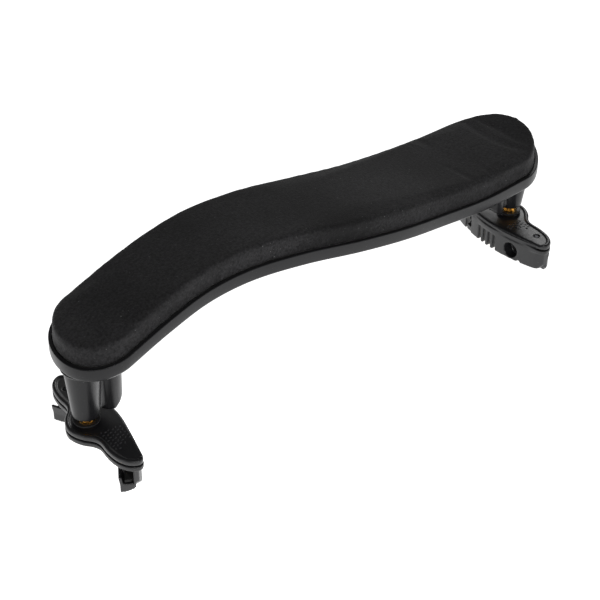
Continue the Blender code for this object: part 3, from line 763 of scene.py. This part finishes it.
def soft_plain(name, colour, roughness, bloom, grain_scale):
    """Rubber, nylon or film: a dull even stuff with a fine grain and a pale bloom in patches."""
    mat, nodes, links = blank_material(name)

    colour_frame = nodes.new("NodeFrame")
    colour_frame.label = "Colour and bloom"
    relief_frame = nodes.new("NodeFrame")
    relief_frame.label = "Grain"

    place = nodes.new("ShaderNodeTexCoord")
    place.label = "Place on the part"
    patches = nodes.new("ShaderNodeTexNoise")
    patches.label = "Bloom patches"
    tint = nodes.new("ShaderNodeMix")
    tint.label = "Clean to bloomed"
    tint.data_type = "RGBA"
    tint.inputs["A"].default_value = (*colour, 1)
    tint.inputs["B"].default_value = (*[c * 0.8 + bloom for c in colour], 1)
    dull = nodes.new("ShaderNodeMapRange")
    dull.label = "Dullness"
    dull.inputs["To Min"].default_value = roughness - 0.08
    dull.inputs["To Max"].default_value = roughness + 0.08
    grain = nodes.new("ShaderNodeTexNoise")
    grain.label = "Grain"
    relief = nodes.new("ShaderNodeBump")
    relief.label = "Grain relief"
    relief.inputs["Strength"].default_value = 0.4
    relief.inputs["Distance"].default_value = 0.00005
    shader = nodes.new("ShaderNodeBsdfPrincipled")
    shader.label = "Stuff"
    shader.inputs["Specular IOR Level"].default_value = 0.35
    output = nodes.new("ShaderNodeOutputMaterial")
    output.label = "Surface"

    noises = ((patches, 180, 5), (grain, grain_scale, 5))
    for noise, scale, detail in noises:
        noise.inputs["Scale"].default_value = scale
        noise.inputs["Detail"].default_value = detail

    links.new(place.outputs["Object"], patches.inputs["Vector"])
    links.new(place.outputs["Object"], grain.inputs["Vector"])
    links.new(patches.outputs["Fac"], tint.inputs["Factor"])
    links.new(patches.outputs["Fac"], dull.inputs["Value"])
    links.new(grain.outputs["Fac"], relief.inputs["Height"])
    links.new(tint.outputs["Result"], shader.inputs["Base Color"])
    links.new(dull.outputs["Result"], shader.inputs["Roughness"])
    links.new(relief.outputs["Normal"], shader.inputs["Normal"])
    links.new(shader.outputs["BSDF"], output.inputs["Surface"])
    lay_out((
        (colour_frame, (place, patches, tint, dull)),
        (relief_frame, (grain, relief)),
    ), shader, output)
    return mat


def shared(name, maker, *values):
    """A material by name, made the first time that it is asked for."""
    return bpy.data.materials.get(name) or maker(name, *values)


def tray_plastic():
    return shared("tray_plastic", moulded_plastic, colours().plastic, 0.34, 0.29, 0.16, 0.5)


def leg_plastic():
    return shared("leg_plastic", moulded_plastic, colours().plastic, 0.30, 0.28, 0.20, 0.4)


def foot_plastic():
    return shared("foot_plastic", moulded_plastic, colours().plastic, 0.36, 0.55, 0.13, 0.7)


def worn_plastic():
    colour = [c * 5 for c in colours().plastic]
    return shared("worn_plastic", moulded_plastic, colour, 0.42, 0.8, 0.13, 1.0)


def bright_brass():
    return shared("turned_brass", turned_metal, colours().brass, 0.20, 0.06, 0.5)


def black_steel():
    return shared("blackened_steel", turned_metal, colours().steel, 0.38, 0.05, 0.6)


# ---------------------------------------------------------------- pieces


class SHOULDERREST_OT_foam_pad(bpy.types.Operator):
    """Foam pad: a flat-topped slab, swollen a little against its glued underside"""

    bl_idname = "shoulder_rest.foam_pad"
    bl_label = "Foam pad"

    glue_reach = 1.6 * MM
    swell_frames = 20

    def execute(self, context):
        size = context.scene.rest_sizes
        pad = remesh(copy_of("foam_pad", "foam_cushion"), size.pad_voxel)
        self.swell(pad, size)
        relax(pad, 0.5, 1)
        finer = pad.modifiers.new("finer skin", "SUBSURF")
        finer.levels = finer.render_levels = 1
        apply_modifiers(pad)
        shade(pad, 80)
        finish_piece(pad, foam_skin(), "rest", "black_foam", "foam_pad")
        return {"FINISHED"}

    def swell(self, pad, size):
        """Start the free skin a little inside, press it out, and cap how far each point moves."""
        vertices = pad.data.vertices
        start_at = [vertex.co.copy() for vertex in vertices]
        inset = [vertex.normal * size.pad_start_inset for vertex in vertices]
        glued = {vertex.index for vertex in vertices if self.is_glued(vertex)}
        held = pad.vertex_groups.new(name="glued into the tray")
        held.add(sorted(glued), 1.0, "REPLACE")
        for vertex in vertices:
            if vertex.index not in glued:
                vertex.co = start_at[vertex.index] - inset[vertex.index]
        self.press_out(pad, held, size)
        for vertex, point in zip(pad.data.vertices, start_at):
            move = vertex.co - point
            if move.length > size.pad_swell:
                vertex.co = point + move.normalized() * size.pad_swell
        pad.vertex_groups.clear()

    def is_glued(self, vertex):
        found, nearest, _, _ = frame["nodes"]["bar"].closest_point_on_mesh(vertex.co)
        return found and (nearest - vertex.co).length < self.glue_reach

    def press_out(self, pad, held, size):
        """Let air pressure round the free skin, with the glued part held."""
        cloth = pad.modifiers.new("swelling skin", "CLOTH")
        cloth.settings.quality = 6
        cloth.settings.mass = 0.15
        cloth.settings.tension_stiffness = 25
        cloth.settings.compression_stiffness = 25
        cloth.settings.bending_stiffness = 2.0
        cloth.settings.use_pressure = True
        cloth.settings.uniform_pressure_force = size.pad_pressure
        cloth.settings.vertex_group_mass = held.name
        cloth.settings.effector_weights.gravity = 0
        cloth.collision_settings.use_collision = False
        cloth.point_cache.frame_start, cloth.point_cache.frame_end = 1, self.swell_frames
        for number in range(1, self.swell_frames + 1):
            bpy.context.scene.frame_set(number)
        apply_modifiers(pad)
        bpy.context.scene.frame_set(1)


class SHOULDERREST_OT_tray(bpy.types.Operator):
    """Bar: an S-shaped moulded tray with a rounded belly and a thin rim"""

    bl_idname = "shoulder_rest.tray"
    bl_label = "Tray"

    middle_inset = 8 * MM
    ledge = 1 * MM
    round_steps = 4

    def levels(self):
        """(inset, height) from the underside, round the belly, over the rim and down to the floor."""
        size = sizes()
        belly, rim, top, wall = size.belly_round, size.rim_round, size.rim_height, size.rim_wall
        floor, middle = size.floor_height, self.middle_inset
        quarter = [math.pi / 2 * i / self.round_steps for i in range(self.round_steps + 1)]
        levels = [(middle, 0.0), (2.5 * belly, 0.0)]
        levels += [(belly * (1 - math.sin(t)), belly * (1 - math.cos(t))) for t in quarter]
        levels += [(0.0, top * 0.55)]
        levels += [(rim * (1 - math.cos(t)), top - rim * (1 - math.sin(t))) for t in quarter]
        levels += [(wall - rim * math.cos(t), top - rim * (1 - math.sin(t))) for t in reversed(quarter)]
        levels += [(wall, top - 2 * rim), (wall, floor), (wall + self.ledge, floor)]
        return levels + [(middle, floor)]

    def execute(self, context):
        rings = []
        for inset, height in self.levels():
            start()
            points = bar_ring(inset, height)
            bpy.ops.mesh.primitive_circle_add(vertices=len(points), fill_type="NOTHING")
            ring = new_piece("ring")
            for vertex, point in zip(ring.data.vertices, points):
                vertex.co = point
            rings.append(ring)
        count = len(rings[0].data.vertices)
        tray = join(rings, "moulded_tray")
        half = count // 2
        for level in range(len(rings) - 1):
            self.bridge(tray, lambda a, b: a // count != b // count or a // count in (level, level + 1),
                        (level * count, (level + 2) * count))
        for level in (0, len(rings) - 1):
            first = level * count
            self.bridge(tray, lambda a, b: {a - first, b - first} not in ({0, count - 1}, {half - 1, half}),
                        (first, first + count))
        outward(tray)
        shade(tray, 50)
        finish_piece(tray, tray_plastic(), "rest", "black_moulding", "bar")
        return {"FINISHED"}

    def bridge(self, tray, wanted, span):
        """Bridge the selected rings' edges whose two ends lie in the span of vertices."""
        take(tray)
        bpy.ops.object.mode_set(mode="EDIT")
        bpy.ops.mesh.select_mode(type="EDGE")
        bpy.ops.mesh.select_all(action="DESELECT")
        bpy.ops.object.mode_set(mode="OBJECT")
        low, high = span
        for edge in tray.data.edges:
            a, b = edge.vertices
            edge.select = low <= a < high and low <= b < high and wanted(a, b)
        bpy.ops.object.mode_set(mode="EDIT")
        bpy.ops.mesh.bridge_edge_loops()
        bpy.ops.object.mode_set(mode="OBJECT")


class SHOULDERREST_OT_legs(bpy.types.Operator):
    """Legs: tapered post and screw column, blended by moulded fillets"""

    bl_idname = "shoulder_rest.legs"
    bl_label = "Legs"

    def execute(self, context):
        for side in SIDES:
            node = f"{side}_leg"
            leg = moulded_copy(node, f"{side}_leg_moulding", sizes().moulding_voxel * 1.2, 8)
            finish_piece(leg, leg_plastic(), "rest", "black_moulding", node)
        return {"FINISHED"}


class SHOULDERREST_OT_foot_plates(bpy.types.Operator):
    """Foot plates: a raised rounded rim about a sunk top, with rows of raised dashes"""

    bl_idname = "shoulder_rest.foot_plates"
    bl_label = "Foot plates"

    # the top inside the rim: what of the wall marks the outer edge, and how the sinking fades
    edge_depth = 0.9 * MM
    screw_clearance = 4 * MM
    pin_clearance = 1.6 * MM
    fade_depth = 1.1 * MM
    fade_length = 0.7 * MM
    rim_slope = 0.8 * MM
    # the dashes: rows run along the foot, from next to the screw outwards
    dash_rows = 6
    dashes_in_row = {-1: 7, 1: 4}
    dash_size = Vector((0.85, 0.34, 0.36)) * MM
    dash_round = 0.10 * MM
    dash_pitch = 1.55 * MM
    row_pitch = 1.3 * MM
    first_row = 0.9 * MM
    first_dash = 7.6 * MM
    row_shift = 0.5 * MM
    dash_turn = math.radians(35)
    dash_sway = math.radians(40)

    def execute(self, context):
        for side in SIDES:
            node = f"{side}_foot_plate"
            plate = moulded_copy(node, f"{side}_plate_moulding", sizes().moulding_voxel, 2)
            self.sink_top(plate, side)
            shade(plate, 60)
            finish_piece(plate, foot_plastic(), f"{side}_foot", "black_moulding", node)
            dashes = self.dashes(side)
            finish_piece(dashes, worn_plastic(), f"{side}_foot", "black_moulding")
        return {"FINISHED"}

    def sink_top(self, plate, side):
        """Lower the top away from the outer edge, which leaves a raised rim."""
        size = sizes()
        axis = screw_axis(side)
        across, _ = foot_axes(side)
        pin = sum(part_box(f"{side}_foot_pin_1"), Vector()) / 2
        flat = Vector((1, 1, 0))
        top = axis.z
        outline = [
            vertex.co * flat
            for vertex in plate.data.vertices
            if abs(vertex.normal.z) < 0.5
            and vertex.normal.dot(across) < 0.55
            and vertex.co.z > top - self.edge_depth
            and ((vertex.co - axis) * flat).length > self.screw_clearance
            and ((vertex.co - pin) * flat).length > self.pin_clearance
        ]
        tree = KDTree(len(outline))
        for index, point in enumerate(outline):
            tree.insert(point, index)
        tree.balance()
        for vertex in plate.data.vertices:
            rise = (vertex.co.z - (top - self.fade_depth)) / self.fade_length
            if rise > 0:
                _, _, distance = tree.find(vertex.co * flat)
                t = min(1.0, max(0.0, (distance - size.plate_rim) / self.rim_slope))
                vertex.co.z -= size.plate_recess * t * t * (3 - 2 * t) * min(1.0, rise)

    def dashes(self, side):
        """Rows of low raised dashes across the half that the pin leaves free."""
        across, along = foot_axes(side)
        axis = screw_axis(side)
        top = axis.z - sizes().plate_recess
        heading = math.atan2(along.y, along.x)
        pieces = []
        for half in (-1, 1):
            for row in range(self.dash_rows):
                for step in range(self.dashes_in_row[half] - row // 2):
                    u = self.first_row + self.row_pitch * row
                    v = half * (self.first_dash + self.dash_pitch * step + self.row_shift * (row % 2))
                    centre = axis + across * u + along * v
                    start()
                    bpy.ops.mesh.primitive_cube_add(size=1, location=(centre.x, centre.y, top))
                    dash = new_piece("dash")
                    dash.scale = self.dash_size
                    turn = self.dash_turn + self.dash_sway * ((row + step) % 2)
                    dash.rotation_euler.z = heading + turn * half
                    pieces.append(settle(dash))
        dashes = join(pieces, f"{side}_plate_dashes")
        round_edges(dashes, self.dash_round, 2)
        return shade(dashes, 40)


class SHOULDERREST_OT_foot_jaws(bpy.types.Operator):
    """Jaws: the slotted wall and the two claws, with soft moulded corners"""

    bl_idname = "shoulder_rest.foot_jaws"
    bl_label = "Foot jaws"

    def execute(self, context):
        for side in SIDES:
            node = f"{side}_foot_jaw"
            jaw = moulded_copy(node, f"{side}_jaw_moulding", sizes().moulding_voxel, 3)
            finish_piece(jaw, foot_plastic(), f"{side}_foot", "black_moulding", node)
        return {"FINISHED"}


class SHOULDERREST_OT_claw_pads(bpy.types.Operator):
    """Claw pads: soft-edged rubber on each claw lip"""

    bl_idname = "shoulder_rest.claw_pads"
    bl_label = "Claw pads"

    edge_round = 0.28 * MM

    def execute(self, context):
        rubber = soft_plain("claw_rubber", colours().rubber, 0.72, 0.010, 1400)
        for side in SIDES:
            for k in (1, 2):
                node = f"{side}_foot_grip_{k}"
                pad = edged_copy(node, f"{side}_claw_pad_{k}", self.edge_round, 30, 60)
                finish_piece(pad, rubber, f"{side}_foot", "claw_rubber", node)
        return {"FINISHED"}


class SHOULDERREST_OT_studs(bpy.types.Operator):
    """Studs: a brass screw with a cut thread and a flat round head"""

    bl_idname = "shoulder_rest.studs"
    bl_label = "Studs"

    head_height = 1.6 * MM
    thread_radius = 2.5 * MM
    edge_break = 0.18 * MM
    overlap = 0.2 * MM
    ridge_overlap = 0.1 * MM
    thread_start = 1.2 * MM
    thread_end = 0.3 * MM
    core_sides = 40
    turn_steps = 36
    # half widths of the ridge at its foot and at its crest, in pitches
    ridge_foot, ridge_crest = 0.46, 0.06

    def execute(self, context):
        for side in SIDES:
            node = f"{side}_stud"
            low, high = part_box(node)
            axis = screw_axis(side)
            head_radius = (high.x - low.x) / 2
            seat = low.z + self.head_height
            root = self.thread_radius - sizes().thread_depth
            head = self.lathe_disc(axis, head_radius, low.z, seat)
            core = self.lathe_disc(axis, root, seat - self.overlap, high.z)
            thread = self.thread(axis, root, seat + self.thread_start, high.z - self.thread_end)
            stud = join([head, core, thread], f"{side}_threaded_stud")
            shade(stud, 35)
            finish_piece(stud, bright_brass(), f"{side}_foot", "brass", node)
        return {"FINISHED"}

    def lathe_disc(self, axis, radius, low, high):
        """A short cylinder about the screw's axis with broken edges."""
        start()
        bpy.ops.mesh.primitive_cylinder_add(
            vertices=self.core_sides, radius=radius, depth=high - low,
            location=(axis.x, axis.y, (low + high) / 2))
        return round_edges(settle(new_piece("disc")), self.edge_break, 2, 60)

    def thread(self, axis, root, low, high):
        """The ridge of the thread: a four-cornered section turned up the stud."""
        pitch = sizes().thread_pitch
        start()
        bpy.ops.mesh.primitive_circle_add(vertices=4, fill_type="NOTHING")
        ridge = new_piece("ridge")
        inner, outer = root - self.ridge_overlap, self.thread_radius
        foot, crest = self.ridge_foot, self.ridge_crest
        corners = ((inner, -foot), (outer, -crest), (outer, crest), (inner, foot))
        for vertex, (radius, rise) in zip(ridge.data.vertices, corners):
            vertex.co = (radius, 0, rise * pitch)
        screw = ridge.modifiers.new("turned up the stud", "SCREW")
        screw.axis = "Z"
        screw.screw_offset = pitch
        screw.iterations = int((high - low) / pitch)
        screw.steps = screw.render_steps = self.turn_steps
        apply_modifiers(ridge)
        ridge.location = (axis.x, axis.y, low + pitch / 2)
        edit_all(settle(ridge))
        bpy.ops.mesh.fill_holes(sides=4)
        bpy.ops.object.mode_set(mode="OBJECT")
        return outward(ridge)


class SHOULDERREST_OT_small_parts(bpy.types.Operator):
    """Washers and pins: turned pieces with broken edges"""

    bl_idname = "shoulder_rest.small_parts"
    bl_label = "Washers and pins"

    washer_round = 0.16 * MM
    pin_round = 0.15 * MM

    def execute(self, context):
        nylon = soft_plain("black_nylon", colours().plastic, 0.42, 0.006, 2200)
        for side in SIDES:
            washer = edged_copy(f"{side}_washer", f"{side}_soft_washer", self.washer_round, 50, 40)
            finish_piece(washer, nylon, f"{side}_carrier", "black_nylon", f"{side}_washer")
            for k in (1, 2):
                node = f"{side}_foot_pin_{k}"
                pin = edged_copy(node, f"{side}_round_pin_{k}", self.pin_round, 50, 40)
                finish_piece(pin, black_steel(), f"{side}_foot", "screw_steel", node)
        return {"FINISHED"}


class SHOULDERREST_OT_inner_parts(bpy.types.Operator):
    """Inner parts: finishes for the adhesive sheet, inserts and leg screws, which keep their shape"""

    bl_idname = "shoulder_rest.inner_parts"
    bl_label = "Inner parts"

    def execute(self, context):
        film = soft_plain("adhesive_film", colours().adhesive, 0.55, 0.03, 600)
        finishes = {"adhesive_sheet": film}
        for side in SIDES:
            finishes[f"{side}_insert"] = bright_brass()
            finishes[f"{side}_leg_screw"] = black_steel()
        for node, material in finishes.items():
            mesh = frame["nodes"][node].data
            mesh.materials.clear()
            mesh.materials.append(material)
        return {"FINISHED"}


# ---------------------------------------------------------------- stage


class SHOULDERREST_OT_stage(bpy.types.Operator):
    """Stage: a pale floor, soft studio light and the camera"""

    bl_idname = "shoulder_rest.stage"
    bl_label = "Stage"

    floor_size = 8.0
    floor_drop = 0.0002
    spot_place = Vector((29, -12, 0)) * MM
    spot_radius = 38 * MM
    # name, place, the point it faces, width, height and power of each light
    softboxes = (
        ("key_softbox", (0.80, 0.64, 0.66), (0.08, 0, 0.03), 0.38, 0.38, 2.3),
        ("side_softbox", (-0.85, 0.05, 0.30), (-0.05, 0, 0.02), 0.20, 0.5, 0.5),
        ("front_strip", (0.52, -0.58, 0.20), (0.06, 0, 0.02), 0.5, 0.18, 0.9),
        ("left_sparkle", (-0.42, -0.42, 0.42), (0, 0, 0.02), 0.02, 0.02, 0.8),
        ("right_sparkle", (-0.18, -0.58, 0.42), (0, 0, 0.02), 0.02, 0.02, 0.8),
    )

    def floor_material(self):
        mat, nodes, links = blank_material("studio_floor")
        place = nodes.new("ShaderNodeTexCoord")
        place.label = "Place on the floor"
        mottle = nodes.new("ShaderNodeTexNoise")
        mottle.label = "Faint mottle of the paper"
        mottle.inputs["Scale"].default_value = 3
        tint = nodes.new("ShaderNodeMix")
        tint.label = "Paper white"
        tint.data_type = "RGBA"
        floor = colours().floor
        tint.inputs["A"].default_value = toned(floor, 0.995)
        tint.inputs["B"].default_value = (*floor, 1)
        shader = nodes.new("ShaderNodeBsdfPrincipled")
        shader.label = "Paper"
        shader.inputs["Roughness"].default_value = 0.9
        shader.inputs["Specular IOR Level"].default_value = 0.1
        shader.inputs["Emission Color"].default_value = (1, 1, 1, 1)
        output = nodes.new("ShaderNodeOutputMaterial")
        output.label = "Surface"
        round_leg = nodes.new("ShaderNodeMapping")
        round_leg.label = "Round the foot of the high end"
        round_leg.vector_type = "TEXTURE"
        centre = screw_axis("left") + self.spot_place
        round_leg.inputs["Location"].default_value = (centre.x, centre.y, 0)
        round_leg.inputs["Scale"].default_value = (self.spot_radius,) * 3
        spot = nodes.new("ShaderNodeTexGradient")
        spot.label = "Spot of light from below"
        spot.gradient_type = "SPHERICAL"
        glow = nodes.new("ShaderNodeMapRange")
        glow.label = "Floor glow"
        stage = bpy.context.scene.rest_stage
        glow.inputs["To Min"].default_value = stage.floor_glow
        glow.inputs["To Max"].default_value = stage.spot_glow
        holder = nodes.new("NodeFrame")
        holder.label = "Studio paper"
        light_frame = nodes.new("NodeFrame")
        light_frame.label = "Light from below"
        links.new(place.outputs["Object"], mottle.inputs["Vector"])
        links.new(mottle.outputs["Fac"], tint.inputs["Factor"])
        links.new(tint.outputs["Result"], shader.inputs["Base Color"])
        links.new(place.outputs["Object"], round_leg.inputs["Vector"])
        links.new(round_leg.outputs["Vector"], spot.inputs["Vector"])
        links.new(spot.outputs["Fac"], glow.inputs["Value"])
        links.new(glow.outputs["Result"], shader.inputs["Emission Strength"])
        links.new(shader.outputs["BSDF"], output.inputs["Surface"])
        lay_out((
            (holder, (place, mottle, tint)),
            (light_frame, (round_leg, spot, glow)),
        ), shader, output)
        return mat

    def softbox(self, name, place, target, width, height, power):
        bpy.ops.object.light_add(type="AREA", location=place)
        lamp = bpy.context.object
        lamp.name = name
        lamp.data.shape = "RECTANGLE"
        lamp.data.size, lamp.data.size_y = width, height
        lamp.data.energy = power
        lamp.rotation_euler = (Vector(target) - Vector(place)).to_track_quat("-Z", "Y").to_euler()

    def execute(self, context):
        stage = context.scene.rest_stage
        start()
        bpy.ops.mesh.primitive_plane_add(size=self.floor_size, location=(0, 0, -self.floor_drop))
        floor = new_piece("studio_floor")
        settle(floor)
        floor.data.materials.append(self.floor_material())

        world = bpy.data.worlds.new("studio")
        world.use_nodes = True
        sky = world.node_tree.nodes["Background"]
        sky.inputs["Color"].default_value = (1, 1, 1, 1)
        sky.inputs["Strength"].default_value = stage.sky
        context.scene.world = world

        for softbox in self.softboxes:
            self.softbox(*softbox)

        camera = bpy.data.cameras.new("camera")
        camera.lens = stage.lens
        camera.sensor_width = 36
        camera.clip_start = 0.01
        holder = bpy.data.objects.new("camera", camera)
        holder.location = BAR_ORIGIN + Vector(stage.station)
        holder.rotation_euler = (stage.pitch, 0, stage.heading)
        context.scene.collection.objects.link(holder)
        context.scene.camera = holder
        context.scene.view_settings.view_transform = "Standard"
        return {"FINISHED"}


PIECES = (
    SHOULDERREST_OT_foam_pad,
    SHOULDERREST_OT_tray,
    SHOULDERREST_OT_legs,
    SHOULDERREST_OT_foot_plates,
    SHOULDERREST_OT_foot_jaws,
    SHOULDERREST_OT_claw_pads,
    SHOULDERREST_OT_studs,
    SHOULDERREST_OT_small_parts,
    SHOULDERREST_OT_inner_parts,
    SHOULDERREST_OT_stage,
)


class VIEW3D_PT_shoulder_rest(bpy.types.Panel):
    """Lists the rest's sizes, colours and pieces"""

    bl_label = "Violin Shoulder Rest"
    bl_space_type = "VIEW_3D"
    bl_region_type = "UI"
    bl_category = "Shoulder Rest"

    def draw(self, context):
        scene = context.scene
        for group in (scene.rest_sizes, scene.rest_colours, scene.rest_stage):
            box = self.layout.box()
            for name in group.__annotations__:
                box.prop(group, name)
        for piece in PIECES:
            self.layout.operator(piece.bl_idname)


CLASSES = (RestSizes, RestColours, RestStage, *PIECES, VIEW3D_PT_shoulder_rest)


def register():
    for cls in CLASSES:
        bpy.utils.register_class(cls)
    bpy.types.Scene.rest_sizes = bpy.props.PointerProperty(type=RestSizes)
    bpy.types.Scene.rest_colours = bpy.props.PointerProperty(type=RestColours)
    bpy.types.Scene.rest_stage = bpy.props.PointerProperty(type=RestStage)


def unregister():
    del bpy.types.Scene.rest_stage
    del bpy.types.Scene.rest_colours
    del bpy.types.Scene.rest_sizes
    for cls in reversed(CLASSES):
        bpy.utils.unregister_class(cls)


def main():
    register()
    bpy.ops.shoulder_rest.foam_pad()
    bpy.ops.shoulder_rest.tray()
    bpy.ops.shoulder_rest.legs()
    bpy.ops.shoulder_rest.foot_plates()
    bpy.ops.shoulder_rest.foot_jaws()
    bpy.ops.shoulder_rest.claw_pads()
    bpy.ops.shoulder_rest.studs()
    bpy.ops.shoulder_rest.small_parts()
    bpy.ops.shoulder_rest.inner_parts()
    bpy.ops.shoulder_rest.stage()


if __name__ == "__main__":
    main()
